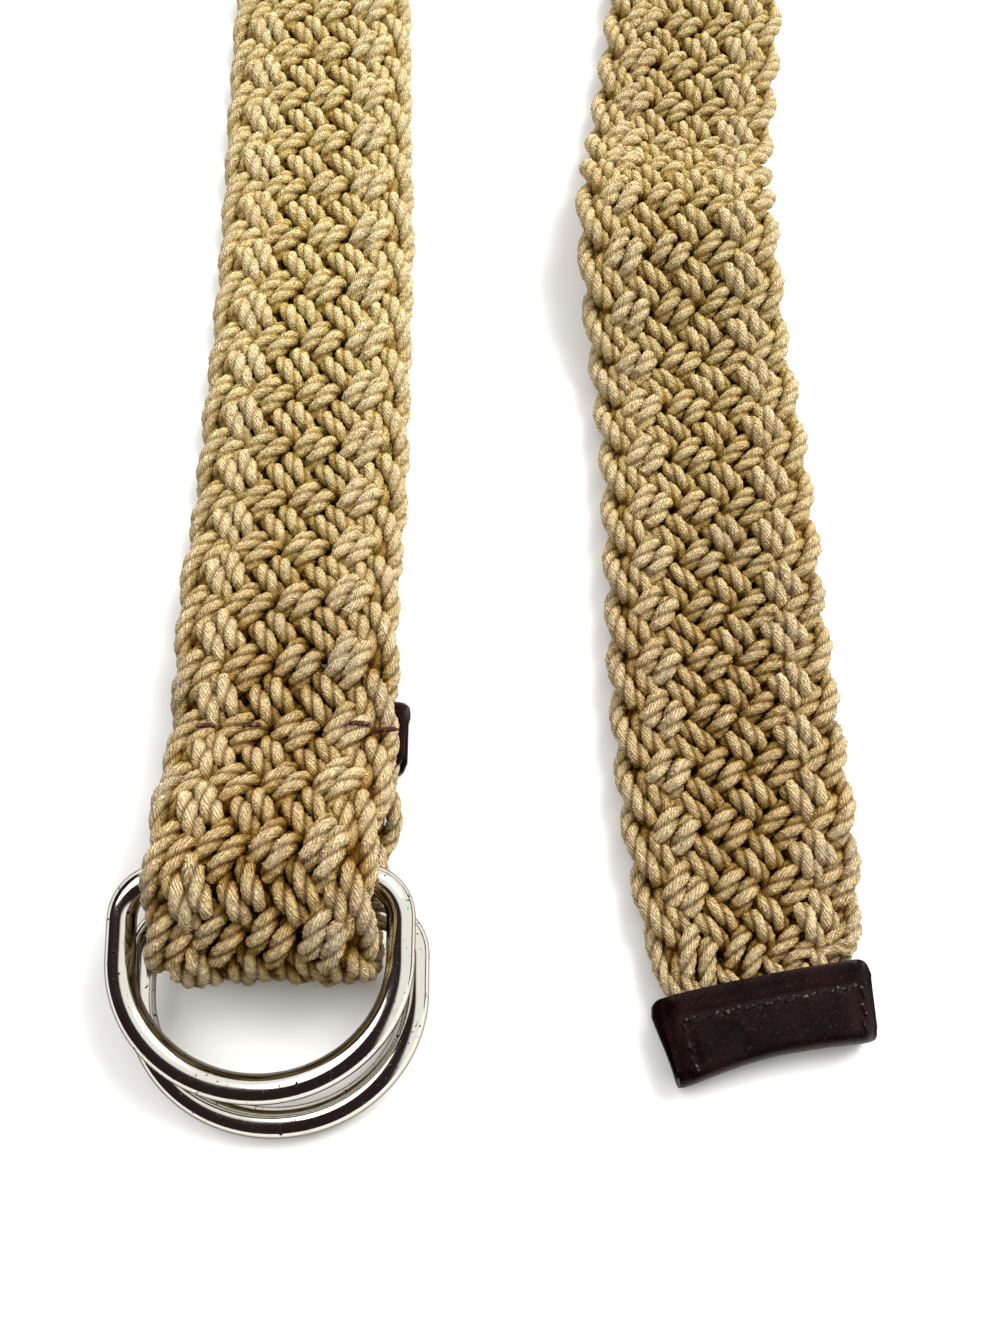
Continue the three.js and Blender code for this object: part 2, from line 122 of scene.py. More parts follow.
# The braid's course from the leather tab, round the rings, up the left, round the far loop and
# back to the tip. Each row is a point of the middle line with the band's width, thickness and roll there.
def braidCourse():
    L = laid
    half = L["thickness"] / 2
    rows = []

    def put(x, y, z, width, thickness=L["thickness"], roll=0.0):
        rows.append((Vector((x, y, z)), width, thickness, roll))

    tabInside = L["foldLength"] - L["endInset"]
    flatTo = L["foldLength"] - L["tabLength"] - L["flattenedLead"]
    for share in (0, 0.25, 0.5, 0.75, 1):
        y = mix(tabInside, flatTo, share)
        put(leftX(y), y, L["endLevel"], widthAlong(foldEndWidths, L["foldWidth"], y), L["flattenedEnd"])
    for share in (0.4, 0.8, 1):
        y = mix(flatTo, L["backBar"][0], L["lowerRamp"] * share)
        put(leftX(y), y, mix(L["endLevel"], half, ease(share)), widthAlong(foldEndWidths, L["foldWidth"], y),
            mix(L["flattenedEnd"], L["thickness"], ease(share)))
    for share in (0.55, 0.78, 0.93):
        y = mix(flatTo, L["backBar"][0], share)
        put(leftX(y), y, half, widthAlong(foldEndWidths, L["foldWidth"], y))

    bendY, bendZ, radius = L["backBar"][0], half + L["bendRadius"], L["bendRadius"]
    frontY, frontZ = L["frontBar"]
    crown = L["crownRadius"]
    leave = (math.atan2(frontZ - bendZ, frontY - bendY)
             + math.acos((radius - crown) / math.hypot(frontY - bendY, frontZ - bendZ)))
    foldX = leftX(0)
    for share in (0, 0.17, 0.33, 0.5, 0.67, 0.83, 1):
        angle = mix(1.5 * math.pi, leave, share)
        put(foldX, bendY + radius * math.cos(angle), bendZ + radius * math.sin(angle), L["foldWidth"])
    for share in (0, 1):
        angle = mix(leave, math.pi / 2, share)
        put(foldX, frontY + crown * math.cos(angle), frontZ + crown * math.sin(angle), L["foldWidth"])

    overMouth = L["foldLength"] - L["tabLength"] * (1 - L["tabCrest"])
    settleFrom = L["foldLength"] + L["settleLead"]
    for share in (0.2, 0.4, 0.6, 0.8, 1):
        y = mix(frontY, overMouth, share)
        put(leftX(y), y, mix(frontZ + crown, L["overTab"], ease(share)),
            widthAlong(frontWidths, L["foldWidth"], y))
    for share in (0.33, 0.67):
        y = mix(overMouth, settleFrom, share)
        put(leftX(y), y, L["overTab"], widthAlong(frontWidths, L["foldWidth"], y))
    for share in (0, 0.17, 0.33, 0.5, 0.67, 0.83, 1):
        y = settleFrom + L["foldSettle"] * share
        put(leftX(y), y, mix(L["overTab"], half, ease(share)), widthAlong(frontWidths, L["foldWidth"], y))

    flatFrom = L["foldLength"] + L["foldSettle"] + L["flatLead"]
    twistFrom = L["laidLength"] + L["twistLead"]
    twistTo = L["loopReach"] - L["twistTail"]

    def rollAt(y):
        return math.pi / 2 * ease((y - twistFrom) / (twistTo - twistFrom))

    def levelAt(roll):
        return half + (L["width"] / 2 - half) * math.sin(roll)

    for k in range(L["leftSteps"] + 1):
        y = mix(flatFrom, twistTo, k / L["leftSteps"])
        put(leftX(y), y, levelAt(rollAt(y)), L["width"], roll=rollAt(y))
    turnX = (leftX(L["loopReach"]) + rightX(L["loopReach"])) / 2
    turnRadius = rightX(L["loopReach"]) - turnX
    for k in range(L["turnSteps"] + 1):
        angle = math.pi * (1 - k / L["turnSteps"])
        put(turnX + turnRadius * math.cos(angle), L["loopReach"] + turnRadius * math.sin(angle),
            L["width"] / 2, L["width"], roll=math.pi / 2)
    for k in range(L["rightSteps"] + 1):
        y = mix(twistTo, L["tipRun"], k / L["rightSteps"])
        run = L["humpNearRun"] if y < L["humpPlace"] else L["humpFarRun"]
        hump = L["humpHeight"] * (1 - ease(abs(y - L["humpPlace"]) / run))
        put(rightX(y), y, levelAt(rollAt(y)) + hump, widthAlong(tipWidths, L["tipBraidWidth"], y),
            roll=rollAt(y))

    flattenedFrom = L["tipMouth"] + L["flattenedLead"]
    for share in (0.25, 0.5, 0.75, 1):
        y = mix(L["tipRun"], flattenedFrom, share)
        put(rightX(y), y, mix(half, L["endLevel"], ease(share)), widthAlong(tipWidths, L["tipBraidWidth"], y),
            mix(L["thickness"], L["flattenedEnd"], ease(share)))
    heading = math.radians(L["tipHeading"])
    straight = L["tipLength"] - L["endInset"] + L["flattenedLead"]
    lastX = rightX(flattenedFrom)
    for share in (0.2, 0.4, 0.6, 0.8, 1):
        y = flattenedFrom - straight * share * math.cos(heading)
        put(lastX + straight * share * math.sin(heading), y, L["endLevel"],
            widthAlong(tipWidths, L["tipBraidWidth"], y), L["flattenedEnd"])
    return rows


# A smooth line through the rows, cut into short steps, with the band's own directions at each step
def stationsAlong(rows, cuts=14):
    points = [row[0] for row in rows]
    points = [2 * points[0] - points[1]] + points + [2 * points[-1] - points[-2]]
    steps = []
    for i in range(len(rows) - 1):
        a, b, c, d = points[i:i + 4]
        tAB, tBC, tCD = (max((q - p).length, 1e-6) ** 0.5 for p, q in ((a, b), (b, c), (c, d)))
        slopeB = ((b - a) / tAB - (c - a) / (tAB + tBC) + (c - b) / tBC) * tBC
        slopeC = ((c - b) / tBC - (d - b) / (tBC + tCD) + (d - c) / tCD) * tBC
        for k in range(cuts if i < len(rows) - 2 else cuts + 1):
            t = k / cuts
            square = 3 * (c - b) - 2 * slopeB - slopeC
            cubic = 2 * (b - c) + slopeB + slopeC
            place = b + slopeB * t + square * t ** 2 + cubic * t ** 3
            steps.append([place] + [mix(rows[i][n], rows[i + 1][n], t) for n in (1, 2, 3)])
    along = 0.0
    level = Vector((1, 0, 0))
    stations = []
    for i, (place, width, thickness, roll) in enumerate(steps):
        ahead = (steps[min(i + 1, len(steps) - 1)][0] - steps[max(i - 1, 0)][0]).normalized()
        if i:
            along += (place - steps[i - 1][0]).length
        sideways = ahead.cross(Vector((0, 0, 1)))
        if sideways.dot(level) < 0:
            sideways.negate()
        if sideways.length > 0.5:
            level = sideways.normalized()
        face = level.cross(ahead).normalized()
        across = level * math.cos(roll) - face * math.sin(roll)
        outward = face * math.cos(roll) + level * math.sin(roll)
        stations.append((along, place + Vector(laid["shift"]), across, outward, width, thickness))
    return stations


stations = stationsAlong(braidCourse())
stationPlaces = [s[0] for s in stations]
bandLength = stationPlaces[-1]
print("course", round(bandLength, 1), "mm")


def stationAt(place):
    place = min(max(place, 0.0), bandLength - 1e-6)
    i = min(bisect_right(stationPlaces, place) - 1, len(stations) - 2)
    a, b = stations[i], stations[i + 1]
    t = (place - a[0]) / max(b[0] - a[0], 1e-9)
    return [mix(a[n], b[n], t) for n in range(1, 6)]


# Nine strands of two cords each, plaited one over, one under; lengths in millimetres. The three values that
# start at lastOver keep a strand up longer at its last crossing before an edge.
plait = {
    "strands": 9, "cordRadius": 1.8, "pairSpacing": 3.6, "layLength": 10.4, "plyRadius": 0.64,
    "rise": 1.85, "halfSweep": 18.0, "sweepPower": 4.5, "flatness": 1.35, "edgeFrom": 16.4,
    "lastOver": 3.5, "overBias": 0.7, "overSpan": 0.42, "underSpread": 0.1, "overSwell": 0.02,
    "wander": 0.2, "bobShare": 0.6, "waves": 3, "waveRange": (0.05, 0.22), "seed": 11,
    "step": 0.82, "profilePoints": 15,
}
fullTurn = 6.28  # radians, for random starts
probe = 0.02  # a short way along the phase, for slopes
# How high the crossings stand at each distance from the band's middle: most at the second row from each edge
crossingHeights = [(0, 1.08), (3, 1.08), (7.5, 0.98), (12.3, 1.32), (16.5, 0.92), (19, 0.85)]
# How thick the cords are at each distance from the band's middle
crossingSizes = [(0, 1.04), (4, 1.04), (7.5, 1.02), (12.3, 1.12), (15.5, 1.08), (19, 1.06)]
# How much each crossing of a strand is turned steeper, counted from edge to edge; below zero is flatter
crossingSteer = [(0, 0), (0.5, 0), (1.5, -0.3), (2.5, 0.25), (3.5, 0.65), (4.3, 0)]
# Along the course: how far the cords stand out of the band's middle, and how much they are pressed together
cordLift = [(0, 0), (40, 0), (60, 1.1), (1040, 1.1), (1056, 0)]
cordPress = [(0, 0.75), (20, 0.8), (46, 0.8), (60, 1), (1050, 1), (1060, 0.75)]
# Where a crossing row lies along the course, and its number; the rows are closer together near the rings
crossingRows = [(0, 0.4), (63.5, 5.5), (100, 8.5), (138.4, 11.5), (175.7, 14.5), (216.5, 17.5), (270.5, 21.5),
                (836.5, 63), (863, 65), (911.5, 69), (946, 72), (980.5, 75), (1022, 79), (1069, 83.4)]
# How far apart a pair's two cords are, by distance from the band's middle: closer where strands turn
pairSpread = [(0, 1), (12, 1), (16, 0.96), (18, 0.9)]


def crossingPhase(place):
    return lookUp(crossingRows, place)


# How far across and how far up a strand is at a phase of its nine rows, and whether it goes over or under
def strandSway(phase):
    turn = (phase + 0.5) % 9
    goingRight = turn < 4.5
    x = -1 + turn / 2.25 if goingRight else 1 - (turn - 4.5) / 2.25
    n = plait["sweepPower"]
    sway = math.copysign(((n + 1) * abs(x) - abs(x) ** (n + 1)) / n, x) * plait["halfSweep"]
    crossing = turn % 4.5
    steer = lookUp(crossingSteer, crossing) * math.sin(2 * math.pi * (crossing - 0.5))
    sway += -steer if goingRight else steer
    if 4 <= turn < 5:
        wave = -math.cos(math.pi * (turn - 4))
    elif turn < 0.5 or turn >= 8.5:
        wave = -math.cos(math.pi * ((turn - 8.5) % 9))
    elif goingRight:
        wave = -math.cos(2 * math.pi * turn)
    else:
        wave = math.cos(2 * math.pi * turn)
    wave += plait["overBias"] * math.exp(-((crossing - plait["lastOver"]) / plait["overSpan"]) ** 2)
    k = plait["flatness"]
    height = lookUp(crossingHeights, abs(sway))
    wave = min(1.0, math.tanh(k * wave) / math.tanh(k))
    return sway, wave * plait["rise"] * (height if wave > 0 else min(1, height)), wave


# One cord's points, the turn of its plies, its thickness, and the band's middle beside each point
def cordPoints(strand, side, chance):
    waves = [(chance.uniform(*plait["waveRange"]), chance.uniform(0, fullTurn), chance.uniform(0, fullTurn))
             for _ in range(plait["waves"])]
    points, tilts, radii, middles = [], [], [], []
    tilt = chance.uniform(0, fullTurn)
    place = 0.0
    before = None
    while place <= bandLength:
        phase = crossingPhase(place) + strand
        sway, up, wave = strandSway(phase)
        offset = side * plait["pairSpacing"] / 2 * lookUp(pairSpread, abs(sway))
        slope = (strandSway(phase + probe)[0] - strandSway(phase - probe)[0]) / (2 * probe)
        slope *= crossingPhase(place + 0.5) - crossingPhase(place - 0.5)
        lean = 1 / math.hypot(1, slope)
        centre, across, outward, width, thickness = stationAt(place - offset * slope * lean)
        squeeze = thickness / laid["thickness"] * lookUp(cordPress, place)
        drift = sum(math.sin(place * f + a) for f, a, b in waves) / len(waves) * plait["wander"]
        bob = sum(math.sin(place * f + b) for f, a, b in waves) / len(waves) * plait["wander"]
        bob *= plait["bobShare"]
        u = (sway + offset * lean + drift) * width / laid["width"]
        lifted = centre + outward * lookUp(cordLift, place)
        point = lifted + across * u + outward * (up + bob) * squeeze
        if before is not None:
            tilt += 2 * math.pi * (point - before).length / plait["layLength"]
        before = point
        points.append(point * mm)
        tilts.append(tilt)
        spread = 1 + plait["underSpread"] * ease(-wave) + plait["overSwell"] * ease(wave)
        radii.append(mix(squeeze, 1, 0.5) * lookUp(crossingSizes, abs(sway)) * spread)
        middles.append((lifted * mm, across, outward, squeeze, width / laid["width"]))
        place += plait["step"]
    return points, tilts, radii, middles


# The outline of a cord of three plies, round its own middle; a groove comes first, so the seam lies in it
def cordOutline():
    ply = plait["plyRadius"]
    outline = bpy.data.curves.new("cordOutline", "CURVE")
    outline.dimensions = "2D"
    spline = outline.splines.new("POLY")
    count = plait["profilePoints"]
    spline.points.add(count - 1)
    for k in range(count):
        angle = 2 * math.pi * k / count
        fromLobe = (angle % (2 * math.pi / 3)) - math.pi / 3
        side = (1 - ply) * math.sin(fromLobe)
        reach = (1 - ply) * math.cos(fromLobe) + math.sqrt(max(0.0, ply ** 2 - side ** 2))
        reach *= plait["cordRadius"] * mm
        spline.points[k].co = (reach * math.cos(angle), reach * math.sin(angle), 0, 1)
    spline.use_cyclic_u = True
    holder = bpy.data.objects.new("cordOutline", outline)
    bpy.context.collection.objects.link(holder)
    return holder


def meshFromCurve(name, curve):
    holder = bpy.data.objects.new(name + "Line", curve)
    bpy.context.collection.objects.link(holder)
    bpy.context.view_layer.update()
    graph = bpy.context.evaluated_depsgraph_get()
    mesh = bpy.data.meshes.new_from_object(holder.evaluated_get(graph), depsgraph=graph)
    mesh.name = name
    bpy.data.objects.remove(holder)
    bpy.data.curves.remove(curve)
    return mesh


def addPiece(name, mesh, body, material):
    piece = bpy.data.objects.new(name, mesh)
    bpy.context.collection.objects.link(piece)
    mesh.materials.clear()
    mesh.materials.append(material)
    mesh.shade_smooth()
    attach(piece, body)
    return piece


# A socket of a material's tree: sums on values read as Python, and each adds its Math node
class Wire:
    def __init__(self, sheet, socket):
        self.sheet = sheet
        self.socket = socket

    def maths(self, operation, *values):
        return self.sheet.node("ShaderNodeMath", {"operation": operation}, *values)

    def __add__(self, other):
        return self.maths("ADD", self, other)

    def __radd__(self, other):
        return self.maths("ADD", other, self)

    def __sub__(self, other):
        return self.maths("SUBTRACT", self, other)

    def __rsub__(self, other):
        return self.maths("SUBTRACT", other, self)

    def __mul__(self, other):
        return self.maths("MULTIPLY", self, other)

    def __rmul__(self, other):
        return self.maths("MULTIPLY", other, self)

    def __pow__(self, other):
        return self.maths("POWER", self, other)

    def cosine(self):
        return self.maths("COSINE", self)

    def between(self, low, high):
        return self.sheet.node("ShaderNodeMapRange", {"interpolation_type": "SMOOTHSTEP"}, self, low, high)


# A material and its nodes: node() takes a node's type, its settings and the values or links of its sockets
class Finish:
    def __init__(self, name):
        self.material = bpy.data.materials.new(name)
        self.material.use_nodes = True
        self.tree = self.material.node_tree
        self.tree.nodes.clear()
        self.shader = self.tree.nodes.new("ShaderNodeBsdfPrincipled")
        output = self.tree.nodes.new("ShaderNodeOutputMaterial")
        self.tree.links.new(self.shader.outputs[0], output.inputs["Surface"])

    def plug(self, socket, value):
        if isinstance(value, Wire):
            self.tree.links.new(value.socket, socket)
        elif value is not None:
            socket.default_value = value

    def node(self, kind, settings, *values, out=0, **named):
        made = self.tree.nodes.new(kind)
        for key, value in settings.items():
            setattr(made, key, value)
        for socket, value in zip(made.inputs, values):
            self.plug(socket, value)
        for key, value in named.items():
            self.plug(made.inputs[key], value)
        return Wire(self, made.outputs[out])

    def blend(self, factor, first, second):
        made = self.tree.nodes.new("ShaderNodeMix")
        made.data_type = "RGBA"
        for place, value in ((0, factor), (6, first), (7, second)):
            if isinstance(value, tuple):
                value = (*value, 1)
            self.plug(made.inputs[place], value)
        return Wire(self, made.outputs[2])

    def noise(self, vector, scale, detail=3, roughness=0.55):
        return self.node("ShaderNodeTexNoise", {}, Vector=vector, Scale=scale, Detail=detail,
                         Roughness=roughness)

    def place(self):
        return self.node("ShaderNodeTexCoord", {}, out=3)

    def map(self, name):
        return self.node("ShaderNodeUVMap", {"uv_map": name})

    def part(self, vector, which):
        return self.node("ShaderNodeSeparateXYZ", {}, vector, out=which)

    def set(self, **values):
        for key, value in values.items():
            self.plug(self.shader.inputs[key.replace("_", " ")], value)

    def bump(self, *heights):
        normal = None
        for height, distance in heights:
            normal = self.node("ShaderNodeBump", {}, Strength=1.0, Distance=distance, Height=height,
                               Normal=normal)
        self.plug(self.shader.inputs["Normal"], normal)


# The cotton's colours, painting light and shade: a painted highlight on top, painted shade below and darker
# painted shade in the gaps, and the same three paler at the far end, where the painted shade is weaker.
# The ends, the right side and the bumps are in metres.
cottonLook = {
    "lit": (0.88, 0.705, 0.43), "shadeWarm": (0.51, 0.30, 0.062), "shadeDeep": (0.085, 0.029, 0.002),
    "litFar": (0.91, 0.765, 0.50), "shadeWarmFar": (0.92, 0.72, 0.28), "shadeDeepFar": (0.42, 0.25, 0.05),
    "tan": (0.64, 0.40, 0.16), "soil": (0.48, 0.41, 0.31),
    "nearEnd": -0.195, "farEnd": -0.07, "rightFrom": -0.01, "rightTo": 0.02, "rightShare": 0.35,
    "plies": 3, "grooveSharpness": 5.0, "yarnsRound": 21, "yarnTurns": 19, "yarnLooseness": 7.0,
    "yarnPieces": 420.0, "fibrePieces": 1300.0, "patchScale": 90, "stainScale": 45, "fuzzScale": 900,
    "yarnBump": 0.0004, "fuzzBump": 0.0003,
}


# Undyed cotton with painted light and shade: a painted highlight on the raised crossings, painted shade in
# the grooves and gaps, and yarn lines along the cord painted as shade between the yarns
def cottonFinish():
    look = cottonLook
    f = Finish("undyedCotton")
    around = f.part(f.map("UVMap"), 1)
    along = f.part(f.map("UVMap"), 0)
    height = f.part(f.map("lay"), 0)
    turn = f.part(f.map("lay"), 1) + along * look["yarnTurns"]
    groove = ((around * (2 * math.pi * look["plies"])).cosine() * 0.5 + 0.5) ** look["grooveSharpness"]
    spot = f.place()
    # Painted shade by place: weaker, paler painted shade towards the far end, and more of the darker painted
    # shade on the right side
    rightSide = f.part(spot, 0).between(look["rightFrom"], look["rightTo"])
    far = f.part(spot, 1).between(look["nearEnd"], look["farEnd"]) * (1.0 - rightSide * look["rightShare"])
    yarnAt = f.node("ShaderNodeCombineXYZ", {}, turn * look["yarnsRound"], along * look["yarnPieces"], 0.0)
    loose = f.noise(yarnAt, 0.7, 2, 0.6)
    yarnTurn = turn * (2 * math.pi * look["yarnsRound"]) + loose * look["yarnLooseness"]
    yarn = yarnTurn.cosine() * 0.5 + 0.5
    fibreTurn = turn * (3 * look["yarnsRound"])
    fibreAt = f.node("ShaderNodeCombineXYZ", {}, fibreTurn, along * look["fibrePieces"], 3.0)
    fibre = f.noise(fibreAt, 1.0, 2, 0.6)
    patch = f.noise(spot, look["patchScale"], 3)
    stain = f.noise(spot, look["stainScale"], 2)
    fine = f.noise(spot, look["fuzzScale"], 2)
    raised = height.between(0.6, 1.5)
    shadeWarm = f.blend(far, look["shadeWarm"], look["shadeWarmFar"])
    shadeDeep = f.blend(far, look["shadeDeep"], look["shadeDeepFar"])
    # Painted highlight on the raised crossings over painted shade on the lower parts
    colour = f.blend(raised, shadeWarm, f.blend(far, look["lit"], look["litFar"]))
    colour = f.blend(stain.between(0.55, 0.75) * 0.35, colour, look["tan"])
    # Yarn lines: painted shade between the yarns
    colour = f.blend((yarn * loose.between(0.2, 0.6)) * 0.6, colour, shadeWarm)
    colour = f.blend((yarn * loose.between(0.3, 0.65)) * 0.3, colour, shadeDeep)
    # Painted shade in the grooves between the plies
    colour = f.blend(groove * (0.88 - raised * 0.2), colour, shadeDeep)
    # Painted shade on the low parts, under and between the crossings
    colour = f.blend((1.0 - height.between(0.28, 1.08)) * 0.95, colour, shadeDeep)
    colour = f.blend((patch.between(0.5, 0.7) * raised) * (1.0 - far) * 0.5, colour, look["soil"])
    f.set(Base_Color=colour, Roughness=0.95, Specular_IOR_Level=0.04)
    f.bump((yarn, look["yarnBump"]), (fibre, look["fuzzBump"]), (fine, look["fuzzBump"]))
    return f.material


cotton = cottonFinish()


# How far each corner stands off the band's middle, and its turn round the cord's own axis, in a second map;
# the cotton paints its highlight and shade by that height
def layMap(mesh, runs):
    count = len(runs[0][0])
    along = mesh.uv_layers["UVMap"].data
    lay = mesh.uv_layers.new(name="lay").data
    half = laid["thickness"] / 2 * mm
    for corner, loop in enumerate(mesh.loops):
        u, v = along[corner].uv
        place = mesh.vertices[loop.vertex_index].co
        row = min(count - 1, max(0, round(u * (count - 1))))
        run = min(runs, key=lambda r: (r[0][row] - place).length_squared)
        middle, across, outward, squeeze, share = run[3][row]
        beyond = max(0.0, abs((place - middle).dot(across)) - plait["edgeFrom"] * share * mm)
        lift = math.hypot((place - middle).dot(outward), beyond) / (half * squeeze)
        lay[corner].uv = (lift, run[1][row] / (2 * math.pi) - v)
    return mesh


def strandMesh(strand, outline, chance):
    curve = bpy.data.curves.new("strand", "CURVE")
    curve.dimensions = "3D"
    curve.bevel_mode = "OBJECT"
    curve.bevel_object = outline
    curve.use_fill_caps = True
    curve.twist_mode = "MINIMUM"
    curve.resolution_u = 1
    runs = [cordPoints(strand, side, chance) for side in (-1, 1)]
    for points, tilts, radii, _ in runs:
        spline = curve.splines.new("POLY")
        spline.points.add(len(points) - 1)
        spline.points.foreach_set("co", [c for point in points for c in (*point, 1)])
        spline.points.foreach_set("tilt", tilts)
        spline.points.foreach_set("radius", radii)
    return layMap(meshFromCurve(f"strand_{strand + 1}", curve), runs)


chance = random.Random(plait["seed"])
outline = cordOutline()
strands = []
for strand in range(plait["strands"]):
    mesh = strandMesh(strand, outline, chance)
    strands.append(addPiece(mesh.name, mesh, "belt", cotton))
    print("strand", strand + 1, "points", len(mesh.vertices))
bpy.data.objects.remove(outline)
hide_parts("braid_band")

# The rings: round wire bent to a D, chromed; millimetres and degrees
rings = {
    "wire": 2.4, "reach": 33.2, "halfWidth": 22.9, "corner": 6.5, "bowFrom": 0.38, "lean": 10.9,
    "front": (-1.0, 15.92, 14.92), "back": (1.0, 10.6, 8.7), "sides": 48, "bowSteps": 96, "cornerSteps": 18,
}
chromeLook = {
    "bright": (0.66, 0.645, 0.58), "worn": (0.36, 0.30, 0.25), "pit": (0.01, 0.006, 0.006),
    "edgeTint": (0.12, 0.07, 0.07), "pitScale": 1100, "smearScale": 120, "wearScale": 320,
    "smearBump": 0.00003,
}


# Worn chrome: smeared, dulled in places and dotted with small dark pits
def chromeFinish():
    look = chromeLook
    f = Finish("polishedChrome")
    spot = f.place()
    pits = f.noise(spot, look["pitScale"], 2).between(0.665, 0.70)
    smear = f.noise(spot, look["smearScale"], 3)
    wear = f.noise(spot, look["wearScale"], 4).between(0.60, 0.70)
    colour = f.blend(wear * 0.3, look["bright"], look["worn"])
    colour = f.blend(pits, colour, look["pit"])
    f.set(Base_Color=colour, Metallic=1.0, Roughness=smear * 0.12 + 0.05 + pits * 0.5,
          Specular_Tint=(*look["edgeTint"], 1))
    f.bump((smear, look["smearBump"]))
    return f.material


def ringMesh(name):
    r = rings
    straight = r["halfWidth"] - r["corner"]
    bowTop = r["bowFrom"] * r["reach"]
    path = []
    for k in range(r["cornerSteps"] + 1):
        angle = math.pi / 2 * k / r["cornerSteps"]
        path.append((straight + r["corner"] * math.sin(angle), -r["corner"] * (1 - math.cos(angle))))
    for k in range(r["bowSteps"] + 1):
        angle = math.pi * k / r["bowSteps"]
        path.append((r["halfWidth"] * math.cos(angle), -bowTop - (r["reach"] - bowTop) * math.sin(angle)))
    for k in range(r["cornerSteps"], -1, -1):
        angle = math.pi / 2 * k / r["cornerSteps"]
        path.append((-straight - r["corner"] * math.sin(angle), -r["corner"] * (1 - math.cos(angle))))
    curve = bpy.data.curves.new(name, "CURVE")
    curve.dimensions = "3D"
    curve.bevel_depth = r["wire"] * mm
    curve.bevel_resolution = r["sides"] // 4 - 2
    curve.resolution_u = 1
    spline = curve.splines.new("POLY")
    spline.points.add(len(path) - 1)
    lean = Matrix.Rotation(math.radians(r["lean"]), 4, "X")
    barX, barY, barZ = r[name.split("_")[0]]
    start = Vector((leftX(0) + barX, barY, barZ)) + Vector(laid["shift"])
    for point, (x, y) in zip(spline.points, path):
        point.co = (*((lean @ Vector((x, y, 0)) + start) * mm), 1)
    spline.use_cyclic_u = True
    return meshFromCurve(name, curve)


chrome = chromeFinish()
for name in ("front_ring", "back_ring"):
    ring = addPiece(name + "_wire", ringMesh(name), name, chrome)
    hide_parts(name)
print("rings made")

# Leather folded round each end of the braid; the mouth faces the braid and the fold is the outer end
folds = {
    "leather": 1.4, "height": 7.6, "nose": 2.2, "corner": 2.6, "length": 13.2, "bend": 0.2,
    "edge": 0.3, "edgeAngle": 50, "acrossSteps": 64, "alongSteps": 72,
}
tip = {
    "mouth": 36.4, "end": (34.8, 31.8), "pinch": 1.5, "turn": 10.4, "rim": 0.28, "bow": 0.5,
    "foldCorner": 0.12, "hollow": 0.9, "slip": 1.1, "drawn": 1.3,
}
tab = {
    "mouth": 41.6, "end": (41.6, 41.6), "pinch": 0.0, "turn": 180, "rim": 0.12, "bow": 0.0,
    "foldCorner": 0.3, "hollow": 0.0, "slip": 0.0, "drawn": 0.0,
}
# The rim's raised edge and the pressed line inside it: distance from the edge, and half width
rimCrest = (0.7, 0.9)
rimDip = (3.5, 0.8)
leatherLook = {
    "dark": (0.003, 0.0008, 0.0009), "light": (0.013, 0.0038, 0.0042), "speck": (0.06, 0.024, 0.020),
    "grainScale": 1500, "poreScale": 2600, "mottleScale": 130, "speckScale": 1900,
    "grainBump": 0.00007, "poreBump": 0.00006, "mottleBump": 0.00025,
}


# Dark leather, lightly waxed: fine grain, pores, soft mottling and pale specks
def leatherFinish():
    look = leatherLook
    f = Finish("brownLeather")
    spot = f.place()
    grain = f.node("ShaderNodeTexVoronoi", {"feature": "DISTANCE_TO_EDGE"}, Vector=spot,
                   Scale=look["grainScale"])
    pores = f.noise(spot, look["poreScale"], 3)
    mottle = f.noise(spot, look["mottleScale"], 4)
    speck = f.noise(spot, look["speckScale"], 2).between(0.58, 0.72)
    colour = f.blend(mottle.between(0.35, 0.7), look["dark"], look["light"])
    colour = f.blend(speck * 0.35, colour, look["speck"])
    f.set(Base_Color=colour, Roughness=mottle * 0.2 + 0.26, Specular_IOR_Level=0.03, Coat_Weight=0.06,
          Coat_Roughness=0.10)
    f.bump((grain, look["grainBump"]), (pores, look["poreBump"]), (mottle, look["mottleBump"]))
    return f.material


